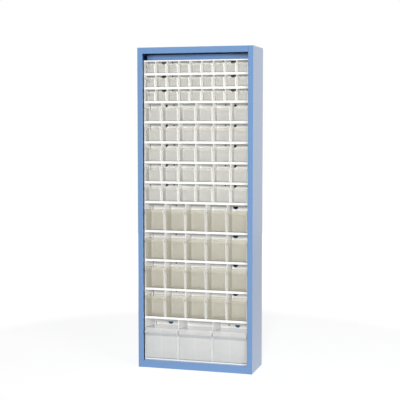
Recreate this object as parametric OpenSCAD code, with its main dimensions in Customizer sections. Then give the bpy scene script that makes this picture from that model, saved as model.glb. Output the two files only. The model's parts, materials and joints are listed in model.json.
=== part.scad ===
// Tall steel cabinet with clear tilting bins for small parts
// A folded sheet cabinet, open at the front, holds white housings stacked on its deck.
// Each housing carries a row of clear bins, which tip forward on pegs near their lower front edge.
// X runs across the front, Y from front to back and Z up, from the centre of the underside.

/* [Cabinet] */
// Width of the upright flanges beside the opening
side_flange = 29; // [20:1:60]
// Height of the flange above the opening
top_flange = 34; // [20:1:80]
// Height of the flange below the opening, which is also the height of the deck
bottom_flange = 43; // [25:1:100]
// Depth of the returns folded back from the flanges
flange_return = 12; // [6:1:20]
// Width of the flanges that carry the back panel
rear_flange = 15; // [10:1:18]
// Width of the feet folded in under the bottom panel
foot_return = 20; // [10:1:60]
// Thickness of the sheet steel
sheet = 1; // [0.8:0.1:1.5]
// Inner radius of the folds
bend_r = 1.5; // [0.5:0.1:3]
// Distance from the front of the cabinet to the front of the housings
front_recess = 25; // [24:1:60]
// Free depth between the deepest housing and the back panel
back_gap = 45; // [25:1:120]
// Gap between the housings and the side flanges
side_gap = 2; // [1:0.5:10]
// Free height between the top housing and the top flange
top_gap = 36; // [20:1:100]
// Distance from the edges of the back panel to the outside of the cabinet
back_inset = 1; // [0.5:0.5:4]

/* [Mounting panels] */
// Height of the upper panel above the top housing
panel_rise = 33; // [10:1:45]
// Gap between one mounting panel and the next
panel_gap = 1; // [0.5:0.5:5]
// Width of the feet folded in against the back panel
panel_foot = 15; // [10:1:30]
// Height of the rail behind the lowest housing
base_rail_h = 130; // [125:1:190]
// Room around each hook slot in the panel behind it
window_margin = 3; // [1:1:5]

/* [Housings] */
// Width of a housing
housing_w = 600; // [560:1:700]
// Thickness of a housing's outer walls
housing_wall = 2; // [1.5:0.1:2.5]
// Thickness of the partitions between bins
partition = 2.4; // [2.2:0.1:4]
// Height of the rims along the top and the bottom of the front
rim_h = 6.5; // [5:0.5:10]
// Thickness of those rims
rim_t = 2; // [1.5:0.1:2.5]
// Free depth between a bin and the back wall of its housing
rear_room = 9; // [5:0.5:20]
// Distance from the middle of a housing to its hook slots
hook_x = 200; // [190:1:230]
// Radius of a hook slot, a half round that is flat on top
hook_r = 15; // [8:1:16]
// Distance from the middle of a housing to its two screws
screw_x = 150; // [120:1:158]
// Distance from the left side of a housing to its edge slit
edge_slit_x = 10; // [9:1:20]
// Width of the edge slit
edge_slit_w = 3.5; // [2:0.5:8]
// Height of the edge slit
edge_slit_h = 36; // [10:1:40]

/* [Mini bins, the upper rows] */
// Number of bins in a row
mini_bins = 9; // [7:1:10]
// Number of rows
mini_rows = 3; // [1:1:3]
// Height of a housing
mini_h = 77; // [70:1:100]
// How far the nose of a bin stands in front of its housing
mini_nose = 5; // [2:0.5:10]
// Distance from the top of a housing to its hook slots
mini_slot_drop = 8; // [7:1:12]

/* [Small bins] */
// Number of bins in a row
small_bins = 6; // [5:1:8]
// Number of rows
small_rows = 5; // [1:1:5]
// Height of a housing
small_h = 112; // [95:1:130]
// How far the nose of a bin stands in front of its housing
small_nose = 8; // [3:0.5:14]
// Distance from the top of a housing to its hook slots
small_slot_drop = 14; // [12:1:30]

/* [Medium bins] */
// Number of bins in a row
medium_bins = 5; // [4:1:6]
// Number of rows
medium_rows = 4; // [1:1:4]
// Height of a housing
medium_h = 164; // [140:1:180]
// How far the nose of a bin stands in front of its housing
medium_nose = 13; // [5:0.5:20]
// Distance from the top of a housing to its hook slots
medium_slot_drop = 25; // [12:1:60]

/* [Large bins, the lowest row] */
// Number of bins in a row
large_bins = 3; // [2:1:4]
// Number of rows
large_rows = 1; // [1:1:1]
// Height of a housing
large_h = 240; // [200:1:260]
// How far the nose of a bin stands in front of its housing
large_nose = 23; // [10:0.5:23]
// Distance from the top of a housing to its hook slots
large_slot_drop = 52; // [12:1:80]

/* [Shape of every bin] */
// Thickness of a bin's walls
bin_wall = 1.8; // [1.2:0.1:2.4]
// Gap between a bin and the partition on either side
bin_side_gap = 1; // [0.6:0.1:1.6]
// Gap between the underside of a bin and the rim below it
rim_gap = 0.5; // [0.4:0.1:1.5]
// Level of the lip, the top of a bin's front, as a part of the housing's height
lip_level = 0.76; // [0.74:0.01:0.8]
// Level of the nose, where the front stands out furthest
nose_level = 0.667; // [0.63:0.001:0.7]
// Level of the crease below the nose
crease_level = 0.57; // [0.5:0.01:0.6]
// Level at which the front starts to lean outwards
toe_level = 0.28; // [0.2:0.01:0.4]
// How far the crease stands out, as a part of the nose's reach
crease_reach = 0.2; // [0.1:0.05:0.9]
// How far the lip stands out, as a part of the nose's reach
lip_reach = 0.1; // [0:0.01:0.5]

/* [Pivots and stops] */
// How far a bin tips forward, in degrees
open_angle = 45; // [35:1:50]
// Distance from the front of a housing back to its pivots
pivot_back = 5; // [5:0.5:8]
// Height of the pivots above the underside of a bin
pivot_up = 3; // [3:0.1:5]
// Radius of the pivot pegs
peg_r = 2.5; // [1.5:0.1:2.8]
// How far a peg reaches into the wall beside the bin
peg_in = 0.8; // [0.4:0.1:0.9]
// Clearance around a peg
peg_fit = 0.05; // [0.02:0.01:0.1]
// Clearance at the end of a peg
peg_end_gap = 0.1; // [0.05:0.05:0.1]
// Gap left between an open bin's catch and the rim that stops it
stop_gap = 0.3; // [0.2:0.1:0.5]
// Gap between the catch and the top of the housing as it passes
catch_room = 1.5; // [1:0.1:2]

/* [Screws and rivets] */
// Radius of a screw's shank
screw_r = 2; // [1.5:0.1:2.5]
// Length of a screw under its head
screw_len = 12; // [6:1:16]
// Radius of a screw's head
screw_head_r = 4; // [3:0.1:5]
// Height of a screw's head
screw_head_h = 2.4; // [1.5:0.1:3]
// Radius of a rivet's shank
rivet_r = 1.6; // [1.2:0.1:2]
// Radius of a rivet's outer head
rivet_head_r = 3.2; // [2.6:0.1:4]
// Height of a rivet's outer head
rivet_head_h = 1.1; // [0.8:0.1:1.6]
// Radius of a rivet's formed tail
rivet_tail_r = 2.4; // [2.2:0.1:3]
// Height of a rivet's formed tail
rivet_tail_h = 2; // [1:0.1:3]
// Clearance around screws and rivets in their holes
fastener_fit = 0.05; // [0.02:0.01:0.1]
// Rivets up each side of the back panel
side_rivets = 7; // [3:1:12]
// Rivets across the top and the bottom of the back panel
end_rivets = 4; // [2:1:8]
// Distance from the ends of a row of rivets to the edge of the cabinet
rivet_margin = 60; // [50:1:120]
// Distance from the inner edge of a flange to the rivets in it
rivet_edge = 6; // [4:0.5:8]
// Distance from the ends of a mounting panel to its rivets
panel_rivet_inset = 20; // [8:1:40]

/* [Wall fixing] */
// Radius of the two holes for wall screws
wall_hole_r = 4; // [3:0.5:5]
// Distance between those holes
wall_hole_spacing = 500; // [200:1:520]
// Distance from the top of the cabinet to those holes
wall_hole_drop = 34; // [20:1:40]

/* [Hidden] */
$fn = 48;
// How far a cutting shape runs past what it cuts
cut = 1;
// Room between a screw's head and the partitions beside it
head_room = 1;
// How far the face of a catch runs on below the rim that stops it
catch_overrun = 1;

MINI = 0;
SMALL = MINI + 1;
MEDIUM = SMALL + 1;
LARGE = MEDIUM + 1;
bins_of = [mini_bins, small_bins, medium_bins, large_bins];
rows_of = [mini_rows, small_rows, medium_rows, large_rows];
height_of = [mini_h, small_h, medium_h, large_h];
nose_of = [mini_nose, small_nose, medium_nose, large_nose];
slot_drop_of = [mini_slot_drop, small_slot_drop, medium_slot_drop, large_slot_drop];

// The kind of each row, from the top one down
kinds = [for (kind = [MINI:LARGE]) for (row = [1:1:rows_of[kind]]) kind];
row_count = len(kinds);
last_mini_row = mini_rows;
last_small_row = mini_rows + small_rows;
last_medium_row = mini_rows + small_rows + medium_rows;

// Levels of the top and the floor of each row's housing
function height_from(row) = row >= row_count ? 0 : height_of[kinds[row]] + height_from(row + 1);
function row_top(row) = bottom_flange + height_from(row);
function row_floor(row) = row_top(row + 1);
stack_top = row_top(0);

cabinet_h = stack_top + top_gap + top_flange;
cabinet_w = housing_w + 2 * (side_gap + side_flange);
half_w = cabinet_w / 2;

// Pivot of a bin in its housing, and the height of the catch above it when the bin stands open
pivot_z = rim_h + rim_gap + pivot_up;
catch_h = rim_h - housing_wall - catch_room;
function open_catch_z(kind) = height_of[kind] - rim_h - pivot_z + catch_h;
open_catch_y = rim_t + stop_gap - pivot_back;

// A point of the open bin, turned back about the pivot to where it lies when the bin is closed
function closed(y, z) = [
    y * cos(open_angle) + z * sin(open_angle),
    z * cos(open_angle) - y * sin(open_angle)
];
function bin_rear(kind) = closed(open_catch_y, open_catch_z(kind))[0];
function housing_d(kind) = pivot_back + bin_rear(kind) + rear_room + housing_wall;

// The cabinet's body ends at the back panel, and the rivet heads stand out behind that
body_d = front_recess + housing_d(LARGE) + back_gap;
front_y = -(body_d + sheet + rivet_head_h) / 2;
face_y = front_y + front_recess;
rear_y = front_y + body_d;
opening_half = half_w - side_flange;

function cell_w(kind) = (housing_w - 2 * housing_wall - (bins_of[kind] - 1) * partition) / bins_of[kind];
function cell_x(kind, i) = -housing_w / 2 + housing_wall + cell_w(kind) / 2 + i * (cell_w(kind) + partition);
function bin_w(kind) = cell_w(kind) - 2 * bin_side_gap;

// The screw goes as near to its place as the partitions leave room for its head
function cell_at(kind, x) = floor((x + housing_w / 2 - housing_wall) / (cell_w(kind) + partition));
function within(x, low, high) = min(max(x, low), high);
function screw_place(kind, x) =
    let (middle = cell_x(kind, cell_at(kind, x)))
    let (room = cell_w(kind) / 2 - screw_head_r - head_room)
    within(x, middle - room, middle + room);
function slot_z(row) = row_top(row) - slot_drop_of[kinds[row]];
screw_drop = hook_r / 5;

function spread(count, reach) = [for (i = [0:count - 1]) -reach + 2 * reach * i / (count - 1)];

function two(n) = n < 10 ? str("0", n) : str(n);
function housing_name(row) = str("housing_row_", two(row + 1));
function row_name(row) = str("bins_row_", two(row + 1));
function bin_name(row, i) = str("bin_row_", two(row + 1), "_", i + 1);

// Rows of mini and small bins are one node each, and every larger bin is a node of its own
function is_ganged(row) = kinds[row] < MEDIUM;

steel_blue = [0.46, 0.62, 0.83];
white = [0.96, 0.96, 0.95];
clear = [0.86, 0.86, 0.82, 0.4];
zinc = [0.6, 0.61, 0.62];
black_zinc = [0.14, 0.14, 0.15];

// Lays a flat outline of Y and Z out as a solid along X, from x on over a width
module along_x(x, width) {
    translate([x, 0, 0])
        rotate([90, 0, 90])
            linear_extrude(width)
                children();
}

// Lies a round piece along +Y, with its base at y
module along_y(x, y, z) {
    translate([x, y, z])
        rotate([-90, 0, 0])
            children();
}

// Quarter ring that joins two legs of a folded sheet, about the centre of the fold
module fold(at, turn) {
    translate(at)
        rotate(turn)
            intersection() {
                difference() {
                    circle(bend_r + sheet);
                    circle(bend_r);
                }
                square(bend_r + sheet);
            }
}

// Section of a sheet folded into a channel: a web along Y, a flange with a return in front, a flange behind
// depth is the web's length, front and rear are the widths of the flanges, and lip is the return's depth
module channel_section(depth, front, lip, rear) {
    fold_r = bend_r + sheet;
    translate([0, fold_r])
        square([sheet, depth - 2 * fold_r]);
    fold([fold_r, fold_r], 180);
    translate([fold_r, 0])
        square([front - 2 * fold_r, sheet]);
    fold([front - fold_r, fold_r], 270);
    translate([front - sheet, fold_r])
        square([sheet, lip - fold_r]);
    fold([fold_r, depth - fold_r], 90);
    translate([fold_r, depth - sheet])
        square([rear - fold_r, sheet]);
}

// Places of the rivets on the back panel
side_rivet_z = spread(side_rivets, cabinet_h / 2 - rivet_margin);
end_rivet_x = spread(end_rivets, half_w - rivet_margin);
side_rivet_x = half_w - rear_flange + rivet_edge;
top_rivet_z = cabinet_h - rear_flange + rivet_edge;
bottom_rivet_z = bottom_flange / 2;

module at_side_rivets(side) {
    for (z = side_rivet_z)
        along_y(side * side_rivet_x, 0, cabinet_h / 2 + z)
            children();
}

module at_end_rivets(z) {
    for (x = end_rivet_x)
        along_y(x, 0, z)
            children();
}

// Hole for a rivet through everything between two depths
module rivet_hole() {
    translate([0, 0, rear_y - sheet - cut])
        cylinder(h = 2 * sheet + 2 * cut, r = rivet_r + fastener_fit);
}

// A rivet with its head outside the back panel and its tail inside the flange
module rivet() {
    translate([0, 0, rear_y - sheet - rivet_tail_h])
        cylinder(h = rivet_tail_h, r = rivet_tail_r);
    translate([0, 0, rear_y - sheet - rivet_tail_h])
        cylinder(h = 2 * sheet + rivet_tail_h + rivet_head_h, r = rivet_r);
    translate([0, 0, rear_y + sheet])
        cylinder(h = rivet_head_h, r = rivet_head_r);
}

module side_panel(side) {
    color(steel_blue)
        difference() {
            mirror([side > 0 ? 1 : 0, 0, 0])
                translate([-half_w, front_y, 0])
                    difference() {
                        linear_extrude(cabinet_h)
                            channel_section(body_d, side_flange, flange_return, rear_flange);
                        translate([sheet, sheet, cabinet_h - sheet])
                            cube([side_flange, body_d, sheet + cut]);
                    }
            at_side_rivets(side)
                rivet_hole();
        }
}

// Outline of a panel between the sides, in X and Y, with its ears behind the side flanges
module shelf_outline(ear_front, ear_rear) {
    translate([-opening_half, front_y + bend_r + sheet])
        square([2 * opening_half, body_d - 2 * (bend_r + sheet)]);
    translate([-half_w + sheet, ear_front])
        square([cabinet_w - 2 * sheet, ear_rear - ear_front]);
}

module top_panel() {
    color(steel_blue)
        difference() {
            union() {
                intersection() {
                    translate([0, front_y, cabinet_h])
                        mirror([0, 0, 1])
                            along_x(-half_w, cabinet_w)
                                mirror([1, -1])
                                    channel_section(body_d, top_flange, flange_return, rear_flange);
                    union() {
                        translate([-opening_half, front_y - cut, 0])
                            cube([2 * opening_half, body_d / 2, cabinet_h + cut]);
                        translate([-half_w + rear_flange, 0, 0])
                            cube([cabinet_w - 2 * rear_flange, body_d, cabinet_h + cut]);
                    }
                }
                translate([0, 0, cabinet_h - sheet])
                    linear_extrude(sheet)
                        shelf_outline(front_y + sheet, rear_y);
            }
            at_end_rivets(top_rivet_z)
                rivet_hole();
        }
}

module bottom_panel() {
    color(steel_blue)
        difference() {
            union() {
                intersection() {
                    translate([0, front_y, bottom_flange])
                        mirror([0, 0, 1])
                            along_x(-half_w, cabinet_w)
                                mirror([1, -1])
                                    deck_section();
                    union() {
                        translate([-opening_half, front_y - cut, -cut])
                            cube([2 * opening_half, body_d / 2, cabinet_h]);
                        translate([-half_w + rear_flange, 0, -cut])
                            cube([cabinet_w - 2 * rear_flange, body_d, cabinet_h]);
                    }
                }
                translate([0, 0, bottom_flange - sheet])
                    linear_extrude(sheet)
                        shelf_outline(front_y + flange_return, rear_y - bend_r - sheet);
            }
            at_end_rivets(bottom_rivet_z)
                rivet_hole();
        }
}

// Section of the deck: a channel open below, with a foot folded in under the front and the back
module deck_section() {
    channel_section(body_d, bottom_flange, foot_return, bottom_flange);
    translate([bottom_flange - sheet, body_d - foot_return])
        square([sheet, foot_return]);
}

module back_panel() {
    color(steel_blue)
        difference() {
            translate([-half_w + back_inset, rear_y, 0])
                cube([cabinet_w - 2 * back_inset, sheet, cabinet_h - back_inset]);
            for (side = [-1, 1])
                at_side_rivets(side)
                    rivet_hole();
            at_end_rivets(top_rivet_z)
                rivet_hole();
            at_end_rivets(bottom_rivet_z)
                rivet_hole();
            at_panel_rivets()
                rivet_hole();
            for (side = [-1, 1])
                along_y(side * wall_hole_spacing / 2, rear_y - cut, cabinet_h - wall_hole_drop)
                    cylinder(h = sheet + 2 * cut, r = wall_hole_r);
        }
}

module back_rivets() {
    color(zinc) {
        for (side = [-1, 1])
            at_side_rivets(side)
                rivet();
        at_end_rivets(top_rivet_z)
            rivet();
        at_end_rivets(bottom_rivet_z)
            rivet();
    }
}

// Rows behind which each mounting panel runs, and the levels of its two ends
function first_row(panel) = [0, last_mini_row, last_small_row, last_medium_row][panel];
function last_row(panel) = [last_mini_row, last_small_row, last_medium_row, row_count][panel] - 1;
function panel_top(panel) = panel == MINI ? stack_top + panel_rise : row_top(first_row(panel)) - panel_gap;
function panel_bottom(panel) =
    panel == LARGE ? panel_top(panel) - base_rail_h : row_floor(last_row(panel));
function panel_y(panel) = face_y + housing_d(panel);

// A rivet near each end of each foot
panel_foot_x = housing_w / 2 - panel_foot / 2;
module at_panel_rivets_of(panel) {
    for (side = [-1, 1])
        for (z = [panel_bottom(panel) + panel_rivet_inset, panel_top(panel) - panel_rivet_inset])
            along_y(side * panel_foot_x, 0, z)
                children();
}

module at_panel_rivets() {
    for (panel = [MINI:LARGE])
        at_panel_rivets_of(panel)
            children();
}

module panel_rivets() {
    color(zinc)
        at_panel_rivets()
            rivet();
}

// Half round that is flat on top, as a solid along Y
module hook_slot(x, y, z, length) {
    intersection() {
        along_y(x, y, z)
            cylinder(h = length, r = hook_r);
        translate([x - hook_r, y, z - hook_r])
            cube([2 * hook_r, length, hook_r]);
    }
}

// Window in a mounting panel, a little larger all round than the slot in front of it
module window(x, y, slot_top, slot_w, slot_h) {
    translate([x - slot_w / 2 - window_margin, y - cut, slot_top - slot_h - window_margin])
        cube([slot_w + 2 * window_margin, sheet + 2 * cut, slot_h + 2 * window_margin]);
}

// Section of a mounting panel: its web at y, a side folded back from each end, and a foot on the back panel
module panel_section(y) {
    end = housing_w / 2;
    foot = end - panel_foot;
    side = end - sheet;
    polygon([
        [-end, y], [end, y], [end, rear_y], [foot, rear_y],
        [foot, rear_y - sheet], [side, rear_y - sheet], [side, y + sheet], [-side, y + sheet],
        [-side, rear_y - sheet], [-foot, rear_y - sheet], [-foot, rear_y], [-end, rear_y]
    ]);
}

// A sheet folded back at both sides to the back panel, with windows behind the slots of its housings
module mounting_panel(panel) {
    bottom = panel_bottom(panel);
    y = panel_y(panel);
    color(steel_blue)
        difference() {
            translate([0, 0, bottom])
                linear_extrude(panel_top(panel) - bottom)
                    panel_section(y);
            for (row = [first_row(panel):last_row(panel)]) {
                for (side = [-1, 1]) {
                    window(side * hook_x, y, slot_z(row), 2 * hook_r, hook_r);
                    along_y(screw_place(panel, side * screw_x), y - cut, slot_z(row) - screw_drop)
                        cylinder(h = sheet + 2 * cut, r = screw_r + fastener_fit);
                }
                window(edge_slit_x - housing_w / 2, y, slot_z(row), edge_slit_w, edge_slit_h);
            }
            at_panel_rivets_of(panel)
                rivet_hole();
        }
}

// One housing: a white shell with a cell for each bin, sockets for the pegs and slots in its back wall
module housing(row) {
    kind = kinds[row];
    height = height_of[kind];
    depth = housing_d(kind);
    z = row_floor(row);
    color(white)
        difference() {
            translate([-housing_w / 2, face_y, z])
                cube([housing_w, depth, height]);
            for (i = [0:bins_of[kind] - 1]) {
                left = cell_x(kind, i) - cell_w(kind) / 2;
                translate([left, face_y + rim_t, z + housing_wall])
                    cube([cell_w(kind), depth - rim_t - housing_wall, height - 2 * housing_wall]);
                translate([left, face_y - cut, z + rim_h])
                    cube([cell_w(kind), rim_t + 2 * cut, height - 2 * rim_h]);
                translate([left - peg_in - peg_end_gap, face_y + pivot_back, z + pivot_z])
                    rotate([0, 90, 0])
                        cylinder(h = cell_w(kind) + 2 * (peg_in + peg_end_gap), r = peg_r + peg_fit);
            }
            back_y = face_y + depth - housing_wall;
            for (side = [-1, 1]) {
                hook_slot(side * hook_x, back_y - cut, slot_z(row), housing_wall + 2 * cut);
                along_y(screw_place(kind, side * screw_x), back_y - cut, slot_z(row) - screw_drop)
                    cylinder(h = housing_wall + 2 * cut, r = screw_r + fastener_fit);
            }
            slit_left = edge_slit_x - housing_w / 2 - edge_slit_w / 2;
            translate([slit_left, back_y - cut, slot_z(row) - edge_slit_h])
                cube([edge_slit_w, housing_wall + 2 * cut, edge_slit_h]);
        }
}

module housing_screws() {
    color(black_zinc)
        for (row = [0:row_count - 1])
            for (side = [-1, 1]) {
                kind = kinds[row];
                seat_y = face_y + housing_d(kind) - housing_wall;
                along_y(screw_place(kind, side * screw_x), seat_y, slot_z(row) - screw_drop) {
                    cylinder(h = screw_len, r = screw_r);
                    translate([0, 0, -screw_head_h])
                        cylinder(h = screw_head_h, r = screw_head_r);
                }
            }
}

// Corners of a bin's side, in Y and Z from its pivot, anticlockwise from the heel at the bottom of the front
function heel(kind) = [-pivot_up * tan(open_angle / 2), -pivot_up];
function toe_bottom(kind) = [
    -pivot_back,
    (pivot_back - pivot_up * sin(open_angle)) * tan(open_angle) - pivot_up * cos(open_angle)
];
function front_point(kind, level, reach) = [
    -pivot_back - nose_of[kind] * reach,
    height_of[kind] * level - pivot_z
];
function front_outline(kind) = [
    front_point(kind, lip_level, lip_reach),
    front_point(kind, nose_level, 1),
    front_point(kind, crease_level, crease_reach),
    front_point(kind, toe_level, 0),
    toe_bottom(kind),
    heel(kind)
];
function catch_top(kind) = closed(open_catch_y, open_catch_z(kind));
function catch_foot(kind) = closed(open_catch_y, open_catch_z(kind) - catch_h - catch_overrun);
function bin_outline(kind) = concat(
    front_outline(kind),
    [[bin_rear(kind), -pivot_up], catch_top(kind), catch_foot(kind)]
);

// The same outline with its top pushed up, so that its inside is open above
function open_outline(kind) = concat(
    [[front_point(kind, lip_level, lip_reach)[0], height_of[kind]]],
    front_outline(kind),
    [[bin_rear(kind), -pivot_up], [bin_rear(kind), height_of[kind]]]
);

// An outline moved inwards by t, each corner along the mitre of its two edges
function unit(v) = v / norm(v);
function inward(v) = [-v[1], v[0]] / norm(v);
function mitre(before, at, after, t) =
    let (n1 = inward(at - before))
    let (n2 = inward(after - at))
    at + t * (n1 + n2) / (1 + n1 * n2);
function inset(points, t) = [
    for (i = [0:len(points) - 1])
        mitre(points[(i + len(points) - 1) % len(points)], points[i], points[(i + 1) % len(points)], t)
];

// One bin about its own pivot: a shell open on top, with a peg on either side and a catch at the rear
module bin_shape(kind) {
    width = bin_w(kind);
    color(clear) {
        difference() {
            along_x(-width / 2, width)
                polygon(bin_outline(kind));
            along_x(bin_wall - width / 2, width - 2 * bin_wall)
                polygon(inset(open_outline(kind), bin_wall));
        }
        for (side = [-1, 1]) {
            from = side > 0 ? width / 2 - bin_wall / 2 : -width / 2 - bin_side_gap - peg_in;
            translate([from, 0, 0])
                rotate([0, 90, 0])
                    cylinder(h = bin_wall / 2 + bin_side_gap + peg_in, r = peg_r);
        }
    }
}

module bin(row, i) {
    kind = kinds[row];
    translate([cell_x(kind, i), face_y + pivot_back, row_floor(row) + pivot_z])
        bin_shape(kind);
}

module bin_row(row) {
    for (i = [0:bins_of[kinds[row]] - 1])
        bin(row, i);
}

side_panel(-1);  // left_side_panel
side_panel(1);  // right_side_panel
top_panel();
bottom_panel();
back_panel();
mounting_panel(MINI);  // upper_mounting_panel
mounting_panel(SMALL);  // middle_mounting_panel
mounting_panel(MEDIUM);  // lower_mounting_panel
mounting_panel(LARGE);  // base_mounting_rail
back_rivets();
panel_rivets();
housing_screws();
for (row = [0:row_count - 1]) {
    housing(row);
    if (is_ganged(row)) {
        bin_row(row);
    } else {
        for (i = [0:bins_of[kinds[row]] - 1])
            bin(row, i);
    }
}
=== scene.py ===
"""Looks of a tall steel cabinet with thirteen rows of clear tilting bins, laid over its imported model."""

import json
import math

import bmesh
import bpy
import numpy as np
from bpy.props import FloatProperty, FloatVectorProperty, IntProperty, IntVectorProperty, PointerProperty
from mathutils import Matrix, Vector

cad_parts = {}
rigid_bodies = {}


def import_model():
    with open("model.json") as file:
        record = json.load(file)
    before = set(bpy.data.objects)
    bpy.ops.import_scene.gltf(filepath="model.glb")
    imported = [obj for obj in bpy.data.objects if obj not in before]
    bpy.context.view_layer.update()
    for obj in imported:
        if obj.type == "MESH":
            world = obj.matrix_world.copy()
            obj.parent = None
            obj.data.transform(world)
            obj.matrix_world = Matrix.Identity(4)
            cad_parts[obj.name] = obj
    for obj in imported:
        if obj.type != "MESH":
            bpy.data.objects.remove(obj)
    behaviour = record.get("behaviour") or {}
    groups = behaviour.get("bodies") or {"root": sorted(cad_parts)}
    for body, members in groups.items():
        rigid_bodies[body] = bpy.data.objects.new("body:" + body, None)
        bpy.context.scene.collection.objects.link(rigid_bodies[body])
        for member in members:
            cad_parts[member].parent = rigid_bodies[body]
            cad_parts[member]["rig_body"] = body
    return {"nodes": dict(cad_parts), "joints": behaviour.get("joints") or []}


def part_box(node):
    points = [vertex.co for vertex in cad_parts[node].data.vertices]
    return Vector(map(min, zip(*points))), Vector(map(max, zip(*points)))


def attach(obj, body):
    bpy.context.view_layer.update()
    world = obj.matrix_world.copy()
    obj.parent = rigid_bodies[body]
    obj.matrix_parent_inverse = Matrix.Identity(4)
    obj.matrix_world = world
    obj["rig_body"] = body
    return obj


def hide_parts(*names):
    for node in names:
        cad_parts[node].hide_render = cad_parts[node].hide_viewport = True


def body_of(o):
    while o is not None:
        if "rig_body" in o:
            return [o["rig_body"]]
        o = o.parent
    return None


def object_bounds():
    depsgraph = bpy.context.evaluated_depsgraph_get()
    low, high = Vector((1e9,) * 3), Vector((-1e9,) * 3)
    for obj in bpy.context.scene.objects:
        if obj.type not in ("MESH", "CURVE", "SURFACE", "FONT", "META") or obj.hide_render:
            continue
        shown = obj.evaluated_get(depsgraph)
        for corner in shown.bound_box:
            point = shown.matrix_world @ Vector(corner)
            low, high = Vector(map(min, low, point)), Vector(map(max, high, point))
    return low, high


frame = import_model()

CAD_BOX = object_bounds()
WHITE = (1.0, 1.0, 1.0, 1.0)
MERGE_DISTANCE = 1e-6
FLAT_ANGLE = math.radians(0.5)
EDGE_ANGLE = math.radians(35)

bl_info = {
    "name": "Tilting bin cabinet",
    "version": (1, 0, 0),
    "blender": (4, 5, 0),
    "location": "3D View > Sidebar > Cabinet",
    "description": "Builds the finish of a steel cabinet and its clear bins around the packed model",
    "category": "Add Mesh",
}

FOLDED_PANELS = ("left_side_panel", "right_side_panel", "top_panel", "bottom_panel")
MOUNTING_PANELS = (
    "upper_mounting_panel",
    "middle_mounting_panel",
    "lower_mounting_panel",
    "base_mounting_rail",
)
HOUSINGS = sorted(name for name in frame["nodes"] if name.startswith("housing_row_"))
BIN_NODES = sorted(name for name in frame["nodes"] if name.startswith("bin"))
PIVOTS = {joint["child"]: joint["pos_m"] for joint in frame["joints"]}
BIN_KINDS = ("mini", "small", "medium", "large")
LARGE = BIN_KINDS.index("large")
HOUSING_HEIGHTS = sorted({round((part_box(name)[1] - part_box(name)[0]).z, 4) for name in HOUSINGS})


def length(name, description, default):
    """A property that holds a length in metres."""
    return FloatProperty(name=name, description=description, default=default, precision=5, unit="LENGTH")


def share(name, description, default):
    """A property that holds a number from 0 to 1."""
    return FloatProperty(name=name, description=description, default=default, min=0, max=1, subtype="FACTOR")


def shares(name, description, default):
    """A property that holds a number from 0 to 1 for each of the four kinds of bin."""
    return FloatVectorProperty(name=name, description=description, default=default, size=4, min=0, max=1)


def number(name, description, default, unit="NONE"):
    """A property that holds a number over 0."""
    return FloatProperty(name=name, description=description, default=default, min=0, unit=unit)


def count(name, description, default):
    """A property that holds a whole number."""
    return IntProperty(name=name, description=description, default=default, min=1)


def spot(name, description, default):
    """A property that holds a place in metres."""
    return FloatVectorProperty(name=name, description=description, default=default, subtype="TRANSLATION")


def angle(name, description, degrees):
    """A property that holds an angle. Its default is given in degrees."""
    return FloatProperty(name=name, description=description, default=math.radians(degrees), subtype="ANGLE")


def colour(name, description, default):
    """A property that holds a colour, as linear red, green and blue."""
    return FloatVectorProperty(
        name=name, description=description, default=default, subtype="COLOR", min=0, max=1
    )


class SteelSettings(bpy.types.PropertyGroup):
    """Sizes and colours of the painted sheet steel."""

    paint: colour("Paint", "Colour of the powder coat", (0.112, 0.248, 0.498))
    gloss: share("Roughness", "Roughness of the powder coat", 0.36)
    index: number("Index", "Refractive index of the powder coat", 1.6)
    coat_gloss: share("Top roughness", "Roughness of the coat's clear top layer", 0.28)
    coat_index: number("Top index", "Refractive index of the clear top layer", 1.65)
    cloud: length("Cloud size", "Distance between the lighter and darker clouds", 0.12)
    cloud_depth: share("Cloud depth", "How much darker the darkest cloud is", 0.07)
    peel: length("Peel size", "Distance between the ripples of the coat", 0.0028)
    peel_depth: length("Peel depth", "Depth of the ripples of the coat", 0.00004)
    edge: length("Edge radius", "Rounding of the cut edges under the coat", 0.0003)


class HousingSettings(bpy.types.PropertyGroup):
    """Sizes and colours of the white housings."""

    plastic: colour("Plastic", "Colour of the moulded plastic", (0.95, 0.95, 0.935))
    gloss: share("Roughness", "Roughness of the moulded plastic", 0.38)
    index: number("Index", "Refractive index of the moulded plastic", 1.49)
    flow: length("Flow size", "Width of the streaks left by the moulding", 0.06)
    flow_stretch: number("Flow stretch", "How many times longer the streaks are along the housing", 4.0)
    flow_depth: share("Flow depth", "How much darker the darkest streak is", 0.035)
    grain: length("Grain size", "Distance between the grains of the mould's surface", 0.0009)
    grain_depth: length("Grain depth", "Depth of the grain", 0.000015)
    edge: length("Edge radius", "Rounding of the moulded edges", 0.0004)
    wall: length("Wall", "Thickness of the outer walls", 0.002)
    partition: length("Partition", "Thickness of the partitions between bins", 0.0024)


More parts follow.
